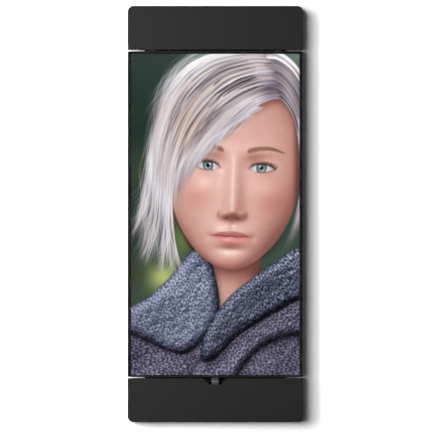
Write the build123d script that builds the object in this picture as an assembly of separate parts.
from build123d import *
import os

# A digital photo frame that hangs on a wall: a shallow steel dock with a cover at each end, and
# a slim display that stands between the covers and lifts out against a spring clamp.
#
# Millimetres. X runs to the right as seen from the front and Z runs up. The wall is the plane
# Y = 0 and the frame stands in front of it, on the -Y side. The origin is the middle of the wall
# face. A "reach" is a distance from the wall towards the viewer, so Y = -reach.

# ---- Driving dimensions -----------------------------------------------------------------------

# Whole frame
frame_width = 170.0
frame_depth = 19.0
display_height = 316.0
cover_height = 42.6
top_gap = 1.4
bottom_gap = 1.1

# Cast covers
cover_wall = 1.6
cover_corner = 5.6
cover_edge = 1.2
cover_slit_edge = 0.3
cover_draft_fillet = 1.0
cover_wall_gap = 0.4
cover_slot_gap = 0.5
cover_rib_height = 1.5
cover_rib_shares = (0.42, 0.74)
cover_rib_thickness = 1.2
cover_boss_radius = 3.0
cover_web_length = 11.0
cover_web_step = 2.0
cover_screw_skin = 0.6
notch_top_width = 24.0
notch_low_width = 11.0
notch_depth = 6.1
notch_round = 1.0

# Display unit
display_depth = 9.0
glass_recess = 0.8
housing_corner = 1.8
housing_edge = 1.5
housing_front_chamfer = 0.45
housing_side = 1.4
housing_back = 1.2
cavity_corner = 0.6
glass_rim = 0.7
glass_gap = 0.1
glass_edge = 0.15
glass_thickness = 1.1
panel_thickness = 1.4
panel_gap = 0.2
backlight_thickness = 1.8
support_thickness = 0.5
support_window_margin = 16.0
support_window_lap = 5.0
support_window_corner = 4.0
housing_post_radius = 2.2
housing_post_inset = 9.0

# Dock chassis
chassis_width = 137.4
sheet = 1.5
bend_radius = 1.5
lip_width = 4.7
chassis_end_gap = 6.0
strip_thickness = 0.7
strip_width = 3.7
strip_end_gap = 8.0
wall_screw_radius = 2.5
wall_screw_pitch_x = 100.0
wall_screw_pitch_z = 240.0
window_width = 50.0
window_height = 64.0
window_corner = 4.0
window_lift = 68.15
box_screw_pitch = 60.0
box_screw_radius = 1.75
vent_length = 26.0
vent_width = 4.0
vent_pitch_x = 18.0
vent_rows = (45.0, 85.0)
vent_columns = 5

# Spring clamp at the top
lift_travel = 8.5
rod_radius = 1.5
rod_inset = 23.7
rod_reach = 5.0
rod_fit = 0.05
rod_head_radius = 2.6
rod_head_height = 1.2
ear_width = 12.0
ear_edge = 3.0
ear_below_gap = 8.0
ear_top_gap = 0.15
rod_tail = 2.0
rod_ring_height = 0.8
spring_wire = 0.6
spring_mean_radius = 2.4
spring_turns = 7
spring_end_gap = 0.006
bush_width = 14.0
bush_height = 10.0
bush_wall_gap = 0.7
bush_screw_inset = 2.6
bush_corner = 1.5
bush_screw_depth = 1.4
carriage_reach = 10.0
carriage_side_gap = 2.7
carriage_top_gap = 11.9
carriage_gap = 0.5
carriage_corner = 2.5
carriage_web = 14.0
carriage_border = 6.0
carriage_flange = 4.5
carriage_flange_inset = 12.0

# Hooks that hold the display by its bezel
hook_sheet = 0.8
hook_width = 5.0
hook_inset = 7.7
hook_over_top = 1.5
hook_over_bottom = 1.2
hook_pad = 0.5
hook_bend = 0.8
hook_screw_low = 7.0
hook_screw_high = 5.0
lower_hook_pitch = 7.5
hook_tail = 3.5
pad_inset = 1.5

# Lower bracket and the clips for the lower cover
bracket_end_gap = 16.25
bracket_side_gap = 0.5
bracket_corner = 2.0
bracket_cover_gap = 0.65
bracket_notch_gap = 1.0
bracket_notch_drop = 4.0
bracket_slot_length = 18.0
bracket_slot_width = 5.0
bracket_screw_inset = 2.3
bracket_screw_top = 4.5
bracket_screw_end = 4.0
clip_inset = 23.7
clip_top = 6.5
clip_end = 5.0
clip_sheet = 0.5
clip_width = 8.0
clip_depth = 5.5
clip_bend = 0.35
clip_flare = 0.7
clip_flare_depth = 1.2
blade_thickness = 1.2
blade_width = 7.0
blade_tip_gap = 0.7
blade_fit = 0.05
blade_taper = 0.3
blade_gusset_gap = 0.3
blade_gusset_half = 3.0

# Charging plug
plug_width = 7.8
plug_thickness = 4.2
plug_head = 4.15
plug_gap = 0.1
plug_ring_height = 0.4
plug_ring_step = 0.2
plug_edge = 0.4
plug_flat = 1.0
tongue_width = 6.7
tongue_thickness = 1.5
tongue_release = 1.9
tongue_flat = 0.1
tongue_edge = 0.25
boot_width = 8.2
boot_thickness = 4.8
boot_length = 10.6
boot_bevel = 0.35
boot_tail = 1.0
relief_width = 3.6
relief_thickness = 3.4
holder_height = 6.4
holder_drop = 3.2
holder_wall = 1.4
holder_corner = 1.8
holder_screw_gap = 0.5
holder_ear = 9.0
holder_ear_thickness = 2.5
holder_fit = 0.05

# Power board and its lead
board_width = 72.0
board_height = 26.0
board_thickness = 1.2
board_standoff = 2.5
board_window_gap = 2.0
board_hole_inset = 4.0
board_corner = 2.0
lead_radius = 1.4
lead_fit = 0.02
lead_x = -24.0
lead_drop = 18.0
lead_bend_share = 0.45
connector_width = 9.0
connector_height = 3.0
connector_length = 7.0
connector_corner = 0.5
terminal_width = 12.0
terminal_height = 3.4
terminal_length = 8.0
wire_way_radius = 1.1
wire_way_reach = 1.6
lever_width = 3.6
lever_depth = 0.6
lever_low = 1.0
lever_high = 3.0
coil_width = 7.0
coil_height = 2.8
coil_corner = 1.2
coil_x = 11.5
coil_drop = 2.5
chip_width = 5.0
chip_height = 1.0
chip_x = -6.5
chip_drop = 1.5
can_radius = 2.4
can_height = 3.2
can_drop = 3.0
can_xs = (0.5, 20.0)
clip_ring = 0.9
clip_ring_length = 5.0
clip_foot_half = 2.2
clip_mouth = 0.7

# Charging port in the display
port_width = 8.8
port_thickness = 2.8
port_depth = 7.6
port_shell = 0.3
port_flat = 0.2
port_fit = 0.1

# Electronics inside the display
cell_side_gap = 12.6
cell_height = 124.0
cell_thickness = 2.6
cell_spacing = 6.0
cell_corner = 2.0
cell_edge = 0.8
pcb_thickness = 0.8
pcb_standoff = 0.5
pcb_corner = 2.0
pcb_side_gap = 15.6
pcb_top_gap = 15.85
pcb_band_height = 36.0
pcb_wing_width = 60.0
pcb_wing_height = 42.0
pcb_cell_gap = 16.0
pcb_hole_inset = 6.0
pcb_low_hole_inset = 4.0
pcb_stud_radius = 2.0
shield_x = 30.0
shield_height = 1.4
shield_edge = 0.4
processor_shield = (34.0, 26.0)
memory_shield = (26.0, 20.0)
radio_shield = (38.0, 22.0)
port_board_width = 28.0
port_board_height = 10.0
port_hole_pitch = 20.0
speaker_width = 34.0
speaker_height = 14.0
speaker_thickness = 2.8
speaker_inset = 33.6
speaker_lift = 9.0
speaker_corner = 2.0
speaker_slots = 9
speaker_slot_pitch = 3.0
speaker_slot_length = 8.0
speaker_slot_width = 1.2

# Buttons in the right-hand edge of the display
button_travel = 0.4
button_length = 11.0
rocker_length = 24.0
button_width = 2.0
button_fit = 0.05
button_flange = 0.6
button_proud = -0.1
button_post = 0.5
button_post_radius = 0.7
button_edge = 0.25
flange_lap = 0.6
flange_side_lap = 0.25
switch_size = 1.6
switch_gap = 0.05
switch_half = 2.0
switch_lap = 1.2
button_drop = 29.25
rocker_drop = 57.25

# Fasteners, with the head's radius and height as multiples of the shank's radius
screw_radius = 1.25
small_screw_radius = 0.75
head_sink = 0.9
screw_fit = 0.05
screw_end_gap = 0.4
screw_tail = 1.0
head_ratio = 1.8
head_height_ratio = 1.1
head_bevel_ratio = 0.4

# ---- Heights and reaches that follow from them ------------------------------------------------

frame_height = 2 * cover_height + top_gap + display_height + bottom_gap
top_z = frame_height / 2
upper_cover_z = top_z - cover_height
display_top = upper_cover_z - top_gap
display_bottom = display_top - display_height
display_mid = (display_top + display_bottom) / 2
lower_cover_z = display_bottom - bottom_gap
bottom_z = lower_cover_z - cover_height

display_face = frame_depth - glass_recess
display_back = display_face - display_depth
glass_back = display_face - glass_thickness
panel_back = glass_back - panel_thickness
backlight_back = panel_back - backlight_thickness
support_back = backlight_back - support_thickness
housing_floor = display_back + housing_back
cavity_width = frame_width - 2 * housing_side
cavity_height = display_height - 2 * housing_side
plug_reach = (housing_floor + support_back) / 2
cover_inside = frame_depth - cover_wall

chassis_reach = display_back - strip_thickness
chassis_top = top_z - cover_wall - chassis_end_gap
chassis_bottom = bottom_z + cover_wall + chassis_end_gap
window_z = display_bottom + window_lift

hook_leg_top = display_top + hook_pad
hook_x = chassis_width / 2 - hook_inset
rod_x = chassis_width / 2 - rod_inset
carriage_front = carriage_reach + sheet
carriage_width = chassis_width - 2 * carriage_side_gap
carriage_bottom = upper_cover_z + cover_wall + carriage_gap
carriage_top = top_z - cover_wall - carriage_top_gap
bush_bottom = carriage_bottom
bush_top = bush_bottom + bush_height
upper_ear_z = chassis_top - ear_top_gap - sheet
spring_length = upper_ear_z - bush_top
lower_ear_top = bush_bottom - ear_below_gap
hook_screw_zs = [carriage_bottom + hook_screw_low, carriage_top - hook_screw_high]

bracket_front = chassis_reach + sheet
bracket_top = lower_cover_z - cover_wall - bracket_cover_gap
bracket_bottom = bottom_z + cover_wall + bracket_end_gap
bracket_screw_zs = [bracket_top - bracket_screw_top, bracket_bottom + bracket_screw_end]
clip_x = chassis_width / 2 - clip_inset
clip_zs = [bracket_top - clip_top, bracket_bottom + clip_end]

plug_top = display_bottom - plug_gap
boot_top = plug_top - plug_head
plug_ring_top = boot_top + plug_ring_height
tongue_length = lift_travel - tongue_release
boot_bottom = boot_top - boot_length
holder_top = boot_top - holder_drop
holder_bottom = holder_top - holder_height

board_top = window_z - window_height / 2 - board_window_gap
board_bottom = board_top - board_height
board_back = sheet + board_standoff
board_front = board_back + board_thickness
lead_reach = board_front + connector_height / 2

pcb_back = housing_floor + pcb_standoff
pcb_front = pcb_back + pcb_thickness
pcb_width = cavity_width - 2 * pcb_side_gap
pcb_top = display_mid + cavity_height / 2 - pcb_top_gap
pcb_band_low = pcb_top - pcb_band_height
pcb_wing_low = pcb_band_low - pcb_wing_height
pcb_wing_x = (pcb_wing_width - pcb_width) / 2
cell_width = (cavity_width - cell_spacing) / 2 - cell_side_gap
cell_z = pcb_wing_low - pcb_cell_gap - cell_height / 2
speaker_x = cavity_width / 2 - speaker_inset
button_z = display_top - button_drop
rocker_z = display_top - rocker_drop
side_inner_x = frame_width / 2 - housing_side


# ---- Helpers ----------------------------------------------------------------------------------


def slab(outline, near, far):
    """Extrude an outline seen from the front between two reaches."""
    return extrude(Plane.XZ.offset(near) * outline, far - near)


def block(x_low, x_high, near, far, z_low, z_high):
    """A box between two X, two reaches and two Z values."""
    centre = Pos((x_low + x_high) / 2, -(near + far) / 2, (z_low + z_high) / 2)
    return centre * Box(x_high - x_low, far - near, z_high - z_low)


def both_sides(shape):
    """The shape and its mirror image in the plane of symmetry X = 0."""
    return shape + mirror(shape, Plane.YZ)


def at_points(points, shape):
    """Copies of a flat shape at points given as (x, z)."""
    return Sketch() + [Pos(x, z) * shape for x, z in points]


def grid_points(xs, zs):
    """Every pairing of the given X and Z values."""
    return [(x, z) for x in xs for z in zs]


def screw(x, z, seat, tip, radius):
    """A pan-head screw square to the wall, with its head on the seat and its point at the tip."""
    head_height = head_height_ratio * radius
    side = 1 if seat > tip else -1
    low = min(seat, seat + side * head_height)
    head = slab(Pos(x, z) * Circle(head_ratio * radius), low, low + head_height)
    rim = head.faces().sort_by(Axis.Y)[0 if side > 0 else -1].edges()
    head = chamfer(rim, head_bevel_ratio * head_height)
    return head + slab(Pos(x, z) * Circle(radius), min(seat, tip), max(seat, tip))


def screw_set(points, seat, tip, radius):
    """One screw at each point given as (x, z)."""
    return Compound(children=[screw(x, z, seat, tip, radius) for x, z in points])


def bent_strip(path_points, bend, thickness, width, x):
    """A strip of sheet bent along a path of (reach, z) points, centred on x."""
    path = FilletPolyline(*[(-reach, z) for reach, z in path_points], radius=bend)
    profile = Plane.YZ.offset(x - width / 2) * trace(path, thickness)
    return extrude(profile, width)


# ---- Dock ------------------------------------------------------------------------------------


def dock_chassis():
    """Folded channel with its web on the wall, lips forward, rod ears and board studs."""
    lip_x = chassis_width / 2 - lip_width
    side_x = (chassis_width - sheet) / 2
    lip_y = sheet / 2 - chassis_reach
    path = FilletPolyline(
        (lip_x, lip_y), (side_x, lip_y), (side_x, -sheet / 2),
        (-side_x, -sheet / 2), (-side_x, lip_y), (-lip_x, lip_y),
        radius=bend_radius,
    )
    profile = Pos(0, 0, chassis_bottom) * trace(path, sheet)
    body = extrude(profile, chassis_top - chassis_bottom)

    wall_holes = grid_points(
        (-wall_screw_pitch_x / 2, wall_screw_pitch_x / 2),
        (-wall_screw_pitch_z / 2, wall_screw_pitch_z / 2),
    )
    box_holes = grid_points((-box_screw_pitch / 2, box_screw_pitch / 2), (window_z,))
    vent_xs = [(n - (vent_columns - 1) / 2) * vent_pitch_x for n in range(vent_columns)]
    cuts = at_points(wall_holes, Circle(wall_screw_radius))
    cuts += at_points(box_holes, Circle(box_screw_radius))
    cuts += at_points(grid_points(vent_xs, vent_rows), Rot(0, 0, 90) * SlotOverall(vent_length, vent_width))
    cuts += Pos(0, window_z) * RectangleRounded(window_width, window_height, window_corner)

    # Each rod ear is lanced from the web, which leaves a window of the ear's length below it.
    ear_reach = rod_reach + ear_edge
    for top in (lower_ear_top, upper_ear_z + sheet):
        ear_hole = Pos(rod_x, -rod_reach, top) * Cylinder(rod_radius + rod_fit, 3 * sheet)
        ear = block(rod_x - ear_width / 2, rod_x + ear_width / 2, sheet, ear_reach, top - sheet, top)
        ear_corners = ear.edges().filter_by(Axis.Z).group_by(Axis.Y)[0]
        body += both_sides(fillet(ear_corners, 2 * sheet) - ear_hole)
        lance = Pos(0, top - sheet - (ear_reach - sheet) / 2) * Rectangle(ear_width - 2, ear_reach - sheet)
        cuts += Pos(rod_x, 0) * lance + Pos(-rod_x, 0) * lance
    body -= slab(cuts, -1, sheet + 1)

    studs = at_points(board_holes(), Circle(2 * screw_radius) - Circle(screw_radius))
    body += slab(studs, sheet, board_back)
    lip_holes = grid_points((-bracket_screw_x(), bracket_screw_x()), bracket_screw_zs)
    return body - slab(at_points(lip_holes, Circle(screw_radius + screw_fit)), sheet + 1, chassis_reach + 1)


def board_holes():
    """Fixing points of the power board."""
    x = board_width / 2 - board_hole_inset
    return grid_points((-x, x), (board_bottom + board_hole_inset, board_top - board_hole_inset))


def bracket_screw_x():
    """Distance of the bracket's screws from the middle, centred on the chassis lips."""
    return chassis_width / 2 - bracket_screw_inset


def slide_strip(side):
    """Felt strip on one chassis lip, on which the back of the display slides."""
    centre = side * (chassis_width / 2 - lip_width / 2)
    height = display_height - 2 * strip_end_gap
    outline = Pos(centre, display_mid) * Rectangle(strip_width, height)
    return slab(outline, chassis_reach, display_back)


def guide_rod(side):
    """Rod between the two ears, hung from its head, with a retaining ring below."""
    low = lower_ear_top - sheet - rod_tail
    shank = Pos(0, 0, low) * extrude(Circle(rod_radius), upper_ear_z + sheet - low)
    head = Pos(0, 0, upper_ear_z + sheet) * extrude(Circle(rod_head_radius), rod_head_height)
    head = chamfer(head.faces().sort_by(Axis.Z)[-1].edges(), rod_head_height / 3)
    ring_low = lower_ear_top - sheet - rod_ring_height
    ring = Pos(0, 0, ring_low) * extrude(Circle(rod_head_radius), rod_ring_height)
    return Pos(side * rod_x, -rod_reach, 0) * (shank + head + ring)


def clamp_spring(side):
    """Compression spring on a guide rod, from the bush up to the upper ear."""
    rise = spring_length - spring_wire - 2 * spring_end_gap
    coil = Helix(pitch=rise / spring_turns, height=rise, radius=spring_mean_radius)
    section = Plane(coil @ 0, z_dir=coil % 0) * Rectangle(spring_wire, spring_wire)
    wire = sweep(section, path=coil, is_frenet=True)
    return Pos(side * rod_x, -rod_reach, bush_top + spring_end_gap + spring_wire / 2) * wire


def lower_bracket():
    """Flat bracket across the chassis lips, notched in the middle for the plug."""
    width = chassis_width - 2 * bracket_side_gap
    centre_z = (bracket_top + bracket_bottom) / 2
    outline = Pos(0, centre_z) * RectangleRounded(width, bracket_top - bracket_bottom, bracket_corner)
    notch_bottom = holder_bottom - bracket_notch_drop
    notch_half = boot_width / 2 + holder_wall + bracket_notch_gap
    notch = Rectangle(2 * notch_half, 2 * (bracket_top - notch_bottom))
    outline -= Pos(0, bracket_top) * notch
    slot_x = (holder_screw_x() + clip_x) / 2
    slot = SlotOverall(bracket_slot_length, bracket_slot_width)
    slots = at_points(grid_points((-slot_x, slot_x), (centre_z,)), slot)
    holes = grid_points((-bracket_screw_x(), bracket_screw_x()), bracket_screw_zs)
    holes += grid_points((-hook_x, hook_x), lower_hook_screws())
    holes += grid_points((-holder_screw_x(), holder_screw_x()), (holder_mid(),))
    holes_cut = at_points(holes, Circle(screw_radius + screw_fit))
    return slab(outline - slots - holes_cut, chassis_reach, bracket_front)


def lower_hook_screws():
    """Heights of the screws that hold a lower hook to the bracket."""
    return [bracket_top - hook_screw_low - n * lower_hook_pitch for n in range(2)]


def holder_screw_x():
    """Distance of the plug holder's screws from the middle."""
    return boot_width / 2 + holder_wall + holder_ear / 2 + holder_screw_gap


def holder_mid():
    """Height of the plug holder's screws."""
    return (holder_top + holder_bottom) / 2


def bracket_screws():
    """Screws that hold the bracket to the chassis lips."""
    points = grid_points((-bracket_screw_x(), bracket_screw_x()), bracket_screw_zs)
    return screw_set(points, bracket_front, chassis_reach - sheet - screw_tail, screw_radius)


def lower_hook(side):
    """Hook screwed to the bracket: the display stands on its leg, behind its lip."""
    back = bracket_front + hook_sheet / 2
    leg = display_bottom - hook_sheet / 2
    lip = display_face + hook_sheet / 2
    tail = lower_hook_screws()[-1] - hook_tail
    path = [(back, tail), (back, leg), (lip, leg), (lip, display_bottom + hook_over_bottom)]
    strip = bent_strip(path, hook_bend, hook_sheet, hook_width, side * hook_x)
    holes = at_points(grid_points((side * hook_x,), lower_hook_screws()), Circle(screw_radius + screw_fit))
    return strip - slab(holes, bracket_front - 1, bracket_front + 2 * hook_sheet)


def lower_hook_fixings():
    """Screws through the lower hooks into the bracket."""
    points = grid_points((-hook_x, hook_x), lower_hook_screws())
    return screw_set(points, bracket_front + hook_sheet, chassis_reach - screw_tail, screw_radius)


def cover_clip(x, z):
    """Spring clip on the bracket that grips one blade of the lower cover."""
    half = blade_thickness / 2 + blade_fit + clip_sheet / 2
    back = bracket_front + clip_sheet / 2
    mouth = bracket_front + clip_depth
    throat = mouth - clip_flare_depth
    path = FilletPolyline(
        (-mouth, half + clip_flare), (-throat, half), (-back, half),
        (-back, -half), (-throat, -half), (-mouth, -half - clip_flare),
        radius=clip_bend,
    )
    profile = Plane.YZ.offset(x - clip_width / 2) * trace(path, clip_sheet)
    return Pos(0, 0, z) * extrude(profile, clip_width)


def cover_clips():
    """The four clips for the lower cover."""
    points = grid_points((-clip_x, clip_x), clip_zs)
    return Compound(children=[cover_clip(x, z) for x, z in points])


# ---- Charging plug and power board --------------------------------------------------------------


def at_plug(z):
    """A flat plane square to the plug's axis at a height, with X kept and Y towards the wall."""
    return Pos(0, -plug_reach, z)


def plug_collar():
    """Moulded head of the plug that shows in the cover's notch."""
    outline = RectangleRounded(plug_width, plug_thickness, plug_thickness / 2 - plug_flat)
    collar = at_plug(plug_ring_top) * extrude(outline, plug_top - plug_ring_top)
    return fillet(collar.faces().sort_by(Axis.Z)[-1].edges(), plug_edge)


def plug_ring():
    """Bright metal ring between the plug's head and its body."""
    thickness = plug_thickness + 2 * plug_ring_step
    outline = RectangleRounded(plug_width + 2 * plug_ring_step, thickness, thickness / 2 - plug_flat)
    return at_plug(boot_top) * extrude(outline, plug_ring_height)


def plug_tongue():
    """Contact tongue that stands in the display's port."""
    outline = RectangleRounded(tongue_width, tongue_thickness, tongue_thickness / 2 - tongue_flat)
    tongue = at_plug(plug_top) * extrude(outline, tongue_length)
    return chamfer(tongue.faces().sort_by(Axis.Z)[-1].edges(), tongue_edge)


def plug_boot():
    """Body of the plug, bevelled at its top and tapered to the lead."""
    outline = RectangleRounded(boot_width, boot_thickness, boot_thickness / 2 - plug_flat)
    straight = holder_bottom - boot_tail
    body = at_plug(straight) * extrude(outline, boot_top - straight)
    body = chamfer(body.faces().sort_by(Axis.Z)[-1].edges(), boot_bevel)
    waist = RectangleRounded(relief_width, relief_thickness, lead_radius)
    taper = loft([at_plug(boot_bottom) * waist, at_plug(straight) * outline])
    return body + taper


def plug_holder():
    """Collar block that carries the plug on the bracket, with an ear each side."""
    width = boot_width + 2 * holder_fit
    thickness = boot_thickness + 2 * holder_fit
    pocket = RectangleRounded(width, thickness, thickness / 2 - plug_flat)
    outside = RectangleRounded(width + 2 * holder_wall, thickness + 2 * holder_wall, holder_corner)
    body = at_plug(holder_bottom) * extrude(outside, holder_height)
    ear_x = boot_width / 2 + holder_wall + holder_ear
    ears = block(-ear_x, ear_x, bracket_front, bracket_front + holder_ear_thickness, holder_bottom, holder_top)
    ears = fillet(ears.edges().filter_by(Axis.Y), holder_corner)
    hollow = at_plug(holder_bottom - 1) * extrude(pocket, holder_height + 2)
    points = grid_points((-holder_screw_x(), holder_screw_x()), (holder_mid(),))
    holes = at_points(points, Circle(screw_radius + screw_fit))
    return body + ears - hollow - slab(holes, bracket_front - 1, frame_depth)


def holder_screws():
    """Screws through the holder's ears into the bracket."""
    points = grid_points((-holder_screw_x(), holder_screw_x()), (holder_mid(),))
    return screw_set(points, bracket_front + holder_ear_thickness, chassis_reach - screw_tail, screw_radius)


def charging_lead():
    """Lead from the plug, down and round behind the bracket, up to the power board."""
    low = boot_bottom - lead_drop
    points = [
        (0, -plug_reach, boot_bottom),
        (0, -plug_reach, low),
        (lead_x, -lead_reach, low),
        (lead_x, -lead_reach, board_bottom),
    ]
    cross = (lead_x ** 2 + (plug_reach - lead_reach) ** 2) ** 0.5
    radii = [lead_bend_share * min(lead_drop, cross), lead_bend_share * cross]
    path = FilletPolyline(*points, radius=radii)
    section = Plane(points[0], z_dir=(0, 0, -1)) * Circle(lead_radius)
    return sweep(section, path=path)


def lead_clip():
    """Saddle on the chassis web that holds the rising run of the lead."""
    z = (bracket_top + board_bottom) / 2
    half = clip_ring_length / 2
    ring = Pos(lead_x, -lead_reach, z) * Cylinder(lead_radius + clip_ring, clip_ring_length)
    foot = block(lead_x - clip_foot_half, lead_x + clip_foot_half, sheet, lead_reach, z - half, z + half)
    bore = Pos(lead_x, -lead_reach, z) * Cylinder(lead_radius + lead_fit, 2 * clip_ring_length)
    side = lead_x + lead_radius + 2 * clip_ring
    mouth = block(lead_x, side, lead_reach - clip_mouth, lead_reach + clip_mouth, z - half, z + half)
    return ring + foot - bore - mouth


def power_board():
    """Circuit board of the supply, on studs on the chassis web."""
    centre_z = (board_top + board_bottom) / 2
    outline = Pos(0, centre_z) * RectangleRounded(board_width, board_height, board_corner)
    holes = at_points(board_holes(), Circle(screw_radius + screw_fit))
    return slab(outline - holes, board_back, board_front)


def board_screws():
    """Screws that hold the power board to its studs."""
    return screw_set(board_holes(), board_front, sheet + screw_end_gap, screw_radius)


def lead_connector():
    """Connector at the board's lower edge that takes the charging lead."""
    half = connector_width / 2
    top = board_bottom + connector_length
    body = block(lead_x - half, lead_x + half, board_front, board_front + connector_height, board_bottom, top)
    return fillet(body.edges().filter_by(Axis.Y), connector_corner)


def terminal_block():
    """Two-way terminal at the board's upper edge, where the supply wires come in from the wall."""
    half = terminal_width / 2
    reach = board_front + terminal_height
    body = block(-half, half, board_front, reach, board_top - terminal_length, board_top)
    for x in (-terminal_width / 4, terminal_width / 4):
        wire_reach = board_front + wire_way_reach
        wire_way = Pos(x, -wire_reach, board_top) * Cylinder(wire_way_radius, terminal_length)
        low = board_top - terminal_length + lever_low
        high = board_top - lever_high
        lever = block(x - lever_width / 2, x + lever_width / 2, reach - lever_depth, reach + 1, low, high)
        body -= wire_way + lever
    return body


def power_parts():
    """Coil, capacitors and controller on the power board."""
    mid = (board_top + board_bottom) / 2
    coil = Pos(coil_x, mid - coil_drop) * RectangleRounded(coil_width, coil_width, coil_corner)
    chip = Pos(chip_x, mid - chip_drop) * Rectangle(chip_width, chip_width)
    parts = [
        slab(coil, board_front, board_front + coil_height),
        slab(chip, board_front, board_front + chip_height),
    ]
    for x in can_xs:
        parts.append(slab(Pos(x, mid - can_drop) * Circle(can_radius), board_front, board_front + can_height))
    return Compound(children=parts)


# ---- Spring clamp and upper cover ---------------------------------------------------------------


def guide_bush(side):
    """Plastic block that runs on a guide rod and carries the carriage."""
    x = side * rod_x
    half = bush_width / 2
    body = block(x - half, x + half, sheet + bush_wall_gap, carriage_reach, bush_bottom, bush_top)
    body = fillet(body.edges().filter_by(Axis.Z).group_by(Axis.Y)[-1], bush_corner)
    bore = Pos(x, -rod_reach, bush_bottom) * Cylinder(rod_radius + rod_fit, 4 * bush_height)
    holes = at_points(bush_screw_points(side), Circle(screw_radius + screw_fit))
    return body - bore - slab(holes, carriage_reach - bush_screw_depth - screw_fit, carriage_reach + 1)


def bush_screw_points(side):
    """Screw places of one bush."""
    offset = bush_width / 2 - bush_screw_inset
    z = (bush_bottom + bush_top) / 2
    return [(side * rod_x - offset, z), (side * rod_x + offset, z)]


def clamp_carriage():
    """Plate that joins the bushes, the hooks and the upper cover, with a flange at its top."""
    height = carriage_top - carriage_bottom
    window_half = rod_x - bush_width / 2 - carriage_web
    window = RectangleRounded(2 * window_half, height - 2 * carriage_border, carriage_corner)
    middle = Pos(0, (carriage_bottom + carriage_top) / 2)
    outline = middle * RectangleRounded(carriage_width, height, carriage_corner) - middle * window
    points = grid_points((-hook_x, hook_x), hook_screw_zs) + bush_screw_points(1) + bush_screw_points(-1)
    outline -= at_points(points, Circle(screw_radius + screw_fit))
    plate = slab(outline, carriage_reach, carriage_front)
    half = carriage_width / 2 - carriage_flange_inset
    edge = carriage_front + carriage_flange
    flange = block(-half, half, carriage_front, edge, carriage_top - sheet, carriage_top)
    flange = fillet(flange.edges().filter_by(Axis.Z).group_by(Axis.Y)[0], carriage_corner)
    return plate + flange


def bush_screws():
    """Screws through the carriage into the bushes."""
    points = bush_screw_points(1) + bush_screw_points(-1)
    return screw_set(points, carriage_front, carriage_reach - bush_screw_depth, screw_radius)


def clamp_hook(side):
    """Hook clamped between the carriage and the upper cover, with its lip over the bezel."""
    back = carriage_front + hook_sheet / 2
    leg = hook_leg_top + hook_sheet / 2
    lip = display_face + hook_sheet / 2
    head = hook_screw_zs[-1] + hook_tail
    path = [(back, head), (back, leg), (lip, leg), (lip, display_top - hook_over_top)]
    strip = bent_strip(path, hook_bend, hook_sheet, hook_width, side * hook_x)
    holes = at_points(grid_points((side * hook_x,), hook_screw_zs), Circle(screw_radius + screw_fit))
    return strip - slab(holes, carriage_front - 1, carriage_front + 2 * hook_sheet)


def hook_pads():
    """Rubber pads under the clamp hooks, pressed on the top edge of the display."""
    near = carriage_front + pad_inset
    far = display_face - hook_bend
    pad = block(hook_x - hook_width / 2, hook_x + hook_width / 2, near, far, display_top, hook_leg_top)
    return Compound(children=[pad, mirror(pad, Plane.YZ)])


def cover_screws():
    """Screws from behind through the carriage and hooks into the upper cover."""
    points = grid_points((-hook_x, hook_x), hook_screw_zs)
    return screw_set(points, carriage_reach, cover_inside - cover_screw_skin - screw_end_gap, screw_radius)


def cover_shell():
    """Cast cover with its slit side at Z = 0 and its rounded end at Z = cover_height."""
    outline = Pos(0, cover_height / 2) * Rectangle(frame_width, cover_height)
    outline = fillet(outline.vertices().group_by(Axis.Y)[-1], cover_corner)
    body = slab(outline, cover_wall_gap, frame_depth)
    rim = body.faces().sort_by(Axis.Y)[0].edges().sort_by(Axis.Z)
    body = fillet(rim[1:], cover_edge)
    body = chamfer(body.faces().sort_by(Axis.Z)[0].edges().sort_by(Axis.Y)[0], cover_slit_edge)
    inner = offset(outline, -cover_wall)
    hollow = slab(inner, cover_wall_gap - 1, cover_inside)
    hollow = fillet(hollow.faces().sort_by(Axis.Y)[0].edges(), cover_draft_fillet)
    body -= hollow

    # The wall beside the slit clears the chassis and the hooks, open towards the wall.
    half = chassis_width / 2 + cover_slot_gap
    body -= block(-half, half, -1, chassis_reach + cover_slot_gap, -1, cover_wall + 0.01)
    slot_half = hook_width / 2 + cover_slot_gap
    slot_far = carriage_front + hook_sheet + cover_slot_gap
    slot = block(hook_x - slot_half, hook_x + slot_half, 0, slot_far, -1, cover_wall + 0.01)
    body -= both_sides(slot)

    # Stiffening ribs across the back of the face.
    rib_half = frame_width / 2 - cover_wall
    for share in cover_rib_shares:
        low = share * cover_height - cover_rib_thickness / 2
        near = cover_inside - cover_rib_height
        body += block(-rib_half, rib_half, near, cover_inside, low, low + cover_rib_thickness)
    return body


def top_cover():
    """Upper cover with a boss for each screw, tied to the face by four webs."""
    body = Pos(0, 0, upper_cover_z) * cover_shell()
    points = grid_points((-hook_x, hook_x), hook_screw_zs)
    boss_back = carriage_front + hook_sheet
    body += slab(at_points(points, Circle(cover_boss_radius)), boss_back, cover_inside)
    across = Rectangle(cover_web_length, cover_rib_thickness)
    upright = Rectangle(cover_rib_thickness, cover_web_length)
    body += slab(at_points(points, across + upright), boss_back + cover_web_step, cover_inside)
    bores = at_points(points, Circle(screw_radius + screw_fit))
    return body - slab(bores, boss_back - 1, cover_inside - cover_screw_skin)


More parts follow.
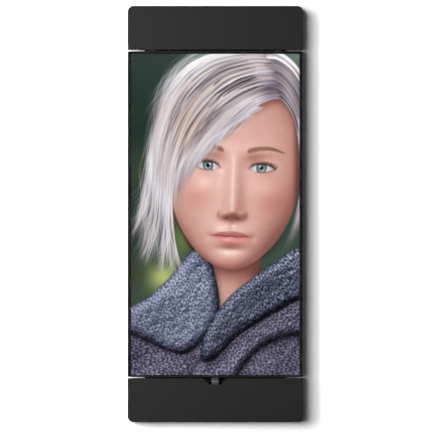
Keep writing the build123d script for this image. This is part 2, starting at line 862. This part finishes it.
def bottom_cover():
    """Lower cover with a notch in front of the plug and four blades for the spring clips."""
    body = Pos(0, 0, lower_cover_z) * mirror(cover_shell(), Plane.XY)
    half_top = notch_top_width / 2
    half_low = notch_low_width / 2
    low = lower_cover_z - notch_depth
    slope = (half_top - half_low) / notch_depth
    over = 2.0
    notch = make_face(Polyline(
        (-half_top - slope * over, lower_cover_z + over), (half_top + slope * over, lower_cover_z + over),
        (half_low, low), (-half_low, low), close=True,
    ))
    notch = fillet(notch.vertices().group_by(Axis.Y)[0], notch_round)
    body -= slab(notch, -1, frame_depth + 1)

    near = bracket_front + clip_sheet + blade_tip_gap
    for x, z in grid_points((-clip_x, clip_x), clip_zs):
        blade = block(x - blade_width / 2, x + blade_width / 2, near, cover_inside + 0.5,
                      z - blade_thickness / 2, z + blade_thickness / 2)
        blade = chamfer(blade.edges().filter_by(Axis.X).group_by(Axis.Y)[-1], blade_taper)
        gusset_near = bracket_front + clip_depth + blade_gusset_gap
        gusset = block(x - cover_rib_thickness / 2, x + cover_rib_thickness / 2, gusset_near,
                       cover_inside + 0.5, z - blade_gusset_half, z + blade_gusset_half)
        body += blade + gusset
    return body


# ---- Display unit -------------------------------------------------------------------------------


def housing_posts():
    """Places of the posts that carry the support plate."""
    x = cavity_width / 2 - housing_post_inset
    z = cavity_height / 2 - housing_post_inset
    return grid_points((-x, x), (display_mid - z, display_mid, display_mid + z))


def pcb_fixings():
    """Places of the main board's studs."""
    x = pcb_width / 2 - pcb_hole_inset
    z = pcb_top - pcb_hole_inset
    return [(-x, pcb_wing_low + pcb_low_hole_inset), (-x, z), (0.0, z), (x, z)]


def rear_housing():
    """Tray of the display: rounded back, glass rebate, posts, and openings for port and buttons."""
    outline = Pos(0, display_mid) * RectangleRounded(frame_width, display_height, housing_corner)
    body = slab(outline, display_back, display_face)
    body = fillet(body.faces().sort_by(Axis.Y)[-1].edges(), housing_edge)
    body = chamfer(body.faces().sort_by(Axis.Y)[0].edges(), housing_front_chamfer)
    cavity = RectangleRounded(cavity_width, cavity_height, cavity_corner)
    body -= slab(Pos(0, display_mid) * cavity, housing_floor, display_face + 1)
    rebate = RectangleRounded(
        frame_width - 2 * glass_rim, display_height - 2 * glass_rim, housing_corner - glass_rim
    )
    body -= slab(Pos(0, display_mid) * rebate, glass_back, display_face + 1)

    posts = at_points(housing_posts(), Circle(housing_post_radius))
    body += slab(posts, housing_floor, support_back)
    studs = at_points(pcb_fixings() + port_board_fixings(), Circle(pcb_stud_radius))
    body += slab(studs, housing_floor, pcb_back)
    body -= slab(at_points(housing_posts(), Circle(small_screw_radius + screw_fit)), 0, support_back + 1)
    sinks = at_points(housing_posts(), Circle(head_ratio * small_screw_radius + screw_fit))
    body -= slab(sinks, 0, display_back + head_sink)

    slot = Rot(0, 0, 90) * SlotOverall(speaker_slot_length, speaker_slot_width)
    for side in (-1, 1):
        first = side * speaker_x - (speaker_slots - 1) / 2 * speaker_slot_pitch
        xs = [first + n * speaker_slot_pitch for n in range(speaker_slots)]
        body -= slab(at_points(grid_points(xs, (speaker_z(),)), slot), 0, housing_floor + 0.1)

    half = port_width / 2 + port_fit
    rise = port_thickness / 2 + port_fit
    edge = display_bottom + housing_side
    body -= block(-half, half, plug_reach - rise, plug_reach + rise, display_bottom - 1, edge + 1)
    for z, length in ((button_z, button_length), (rocker_z, rocker_length)):
        opening = Pos(side_inner_x - 1, -plug_reach, z) * Rot(0, 90, 0) * extrude(
            SlotOverall(length + 2 * button_fit, button_width + 2 * button_fit), 4.0
        )
        body -= opening
    return body


def speaker_z():
    """Height of the speakers' middle."""
    return display_bottom + housing_side + speaker_lift + speaker_height / 2


def cover_glass():
    """Front glass, seated in the housing's rebate."""
    margin = 2 * (glass_rim + glass_gap)
    outline = RectangleRounded(frame_width - margin, display_height - margin, housing_corner - glass_rim)
    glass = slab(Pos(0, display_mid) * outline, glass_back, display_face)
    return chamfer(glass.faces().sort_by(Axis.Y)[0].edges(), glass_edge)


def display_layer(near, far):
    """One full-size layer of the display stack."""
    outline = Rectangle(cavity_width - 2 * panel_gap, cavity_height - 2 * panel_gap)
    return slab(Pos(0, display_mid) * outline, near, far)


def support_plate():
    """Mid plate behind the backlight, screwed to the posts and lightened over the batteries."""
    plate = display_layer(support_back, backlight_back)
    window = RectangleRounded(
        cavity_width - 2 * support_window_margin, cell_height - 2 * support_window_lap, support_window_corner
    )
    plate -= slab(Pos(0, cell_z) * window, support_back - 1, backlight_back + 1)
    holes = at_points(housing_posts(), Circle(small_screw_radius + screw_fit))
    return plate - slab(holes, support_back - 1, backlight_back + 1)


def housing_screws():
    """Screws from the back through the posts into the support plate."""
    return screw_set(housing_posts(), display_back + head_sink, backlight_back - screw_fit, small_screw_radius)


def battery_cell(side):
    """Pouch cell glued to the floor of the housing."""
    x = side * (cell_spacing + cell_width) / 2
    outline = Pos(x, cell_z) * RectangleRounded(cell_width, cell_height, cell_corner)
    cell = slab(outline, housing_floor, housing_floor + cell_thickness)
    return fillet(cell.faces().sort_by(Axis.Y)[0].edges(), cell_edge)


def main_board():
    """Main circuit board, an L round the batteries."""
    band = Pos(0, pcb_top - pcb_band_height / 2) * RectangleRounded(pcb_width, pcb_band_height, pcb_corner)
    wing_top = pcb_band_low + 2 * pcb_corner
    wing = RectangleRounded(pcb_wing_width, wing_top - pcb_wing_low, pcb_corner)
    outline = band + Pos(pcb_wing_x, (pcb_wing_low + wing_top) / 2) * wing
    holes = at_points(pcb_fixings(), Circle(small_screw_radius + screw_fit))
    return slab(outline - holes, pcb_back, pcb_front)


def board_shields():
    """Shield cans over the main board's chips."""
    band_z = pcb_top - pcb_band_height / 2
    wing_z = pcb_wing_low + pcb_wing_height / 2
    places = (
        (pcb_wing_x, wing_z, processor_shield),
        (-shield_x, band_z, memory_shield),
        (shield_x, band_z, radio_shield),
    )
    cans = []
    for x, z, (width, height) in places:
        outline = Pos(x, z) * RectangleRounded(width, height, 2 * shield_edge)
        can = slab(outline, pcb_front, pcb_front + shield_height)
        cans.append(chamfer(can.faces().sort_by(Axis.Y)[0].edges(), shield_edge))
    return Compound(children=cans)


def speaker(side):
    """Speaker module above the housing's slots."""
    outline = RectangleRounded(speaker_width, speaker_height, speaker_corner)
    outline = Pos(side * speaker_x, speaker_z()) * outline
    return slab(outline, housing_floor, housing_floor + speaker_thickness)


def port_board_fixings():
    """Places of the port board's studs."""
    z = display_bottom + port_depth + port_board_height / 2
    return [(-port_hole_pitch / 2, z), (port_hole_pitch / 2, z)]


def charging_port():
    """Metal shell of the port, with its closed end against the port board."""
    outline = RectangleRounded(port_width, port_thickness, port_thickness / 2 - port_flat)
    thickness = port_thickness - 2 * port_shell
    inner = RectangleRounded(port_width - 2 * port_shell, thickness, thickness / 2 - port_flat)
    low = display_bottom + port_shell
    high = display_bottom + port_depth
    shell = at_plug(low) * extrude(outline, high - low)
    return shell - at_plug(low - 1) * extrude(inner, high - port_shell - (low - 1))


def port_board():
    """Small board behind the charging port."""
    centre_z = display_bottom + port_depth + port_board_height / 2
    outline = Pos(0, centre_z) * RectangleRounded(port_board_width, port_board_height, pcb_corner)
    holes = at_points(port_board_fixings(), Circle(small_screw_radius + screw_fit))
    return slab(outline - holes, pcb_back, pcb_front)


def edge_button(z, length):
    """Button in the edge wall: cap, retaining flange behind the wall and a post to its switch."""
    face_x = frame_width / 2 + button_proud
    flange_x = side_inner_x - button_fit - button_flange
    outline = SlotOverall(length, button_width)
    cap = Pos(flange_x, -plug_reach, z) * Rot(0, 90, 0) * extrude(outline, face_x - flange_x)
    cap = fillet(cap.faces().sort_by(Axis.X)[-1].edges(), button_edge)
    half_width = button_width / 2 + flange_side_lap
    half_length = length / 2 + flange_lap
    flange = block(flange_x, flange_x + button_flange, plug_reach - half_width, plug_reach + half_width,
                   z - half_length, z + half_length)
    body = cap + flange
    post = Rot(0, 90, 0) * extrude(Circle(button_post_radius), button_post)
    for post_z in post_heights(z, length):
        body += Pos(flange_x - button_post, -plug_reach, post_z) * post
    return body


def post_heights(z, length):
    """One post on a short button, one near each end of a rocker."""
    if length < 2 * button_length:
        return [z]
    return [z - length / 3, z + length / 3]


def button_switches():
    """Dome switches behind the buttons, on small feet on the housing floor."""
    face = side_inner_x - button_fit - button_flange - button_post - button_travel - switch_gap
    switches = []
    for z, length in ((button_z, button_length), (rocker_z, rocker_length)):
        for post_z in post_heights(z, length):
            switches.append(block(
                face - switch_size, face, housing_floor, plug_reach + switch_lap,
                post_z - switch_half, post_z + switch_half,
            ))
    return Compound(children=switches)


# ---- Nodes --------------------------------------------------------------------------------------

nodes = {
    "dock_chassis": dock_chassis(),
    "slide_strip_left": slide_strip(-1),
    "slide_strip_right": slide_strip(1),
    "guide_rod_left": guide_rod(-1),
    "guide_rod_right": guide_rod(1),
    "clamp_spring_left": clamp_spring(-1),
    "clamp_spring_right": clamp_spring(1),
    "lower_bracket": lower_bracket(),
    "bracket_screws": bracket_screws(),
    "lower_hook_left": lower_hook(-1),
    "lower_hook_right": lower_hook(1),
    "lower_hook_screws": lower_hook_fixings(),
    "cover_clips": cover_clips(),
    "plug_collar": plug_collar(),
    "plug_ring": plug_ring(),
    "plug_tongue": plug_tongue(),
    "plug_boot": plug_boot(),
    "plug_holder": plug_holder(),
    "holder_screws": holder_screws(),
    "charging_lead": charging_lead(),
    "lead_clip": lead_clip(),
    "power_board": power_board(),
    "board_screws": board_screws(),
    "lead_connector": lead_connector(),
    "terminal_block": terminal_block(),
    "power_parts": power_parts(),
    "guide_bush_left": guide_bush(-1),
    "guide_bush_right": guide_bush(1),
    "clamp_carriage": clamp_carriage(),
    "bush_screws": bush_screws(),
    "clamp_hook_left": clamp_hook(-1),
    "clamp_hook_right": clamp_hook(1),
    "hook_pads": hook_pads(),
    "top_cover": top_cover(),
    "cover_screws": cover_screws(),
    "bottom_cover": bottom_cover(),
    "rear_housing": rear_housing(),
    "cover_glass": cover_glass(),
    "lcd_panel": display_layer(panel_back, glass_back),
    "backlight": display_layer(backlight_back, panel_back),
    "support_plate": support_plate(),
    "housing_screws": housing_screws(),
    "battery_left": battery_cell(-1),
    "battery_right": battery_cell(1),
    "main_board": main_board(),
    "board_shields": board_shields(),
    "speaker_left": speaker(-1),
    "speaker_right": speaker(1),
    "charging_port": charging_port(),
    "port_board": port_board(),
    "button_switches": button_switches(),
    "power_button": edge_button(button_z, button_length),
    "volume_rocker": edge_button(rocker_z, rocker_length),
}

os.makedirs("parts", exist_ok=True)
for name, shape in nodes.items():
    export_step(shape, "parts/" + name + ".step")
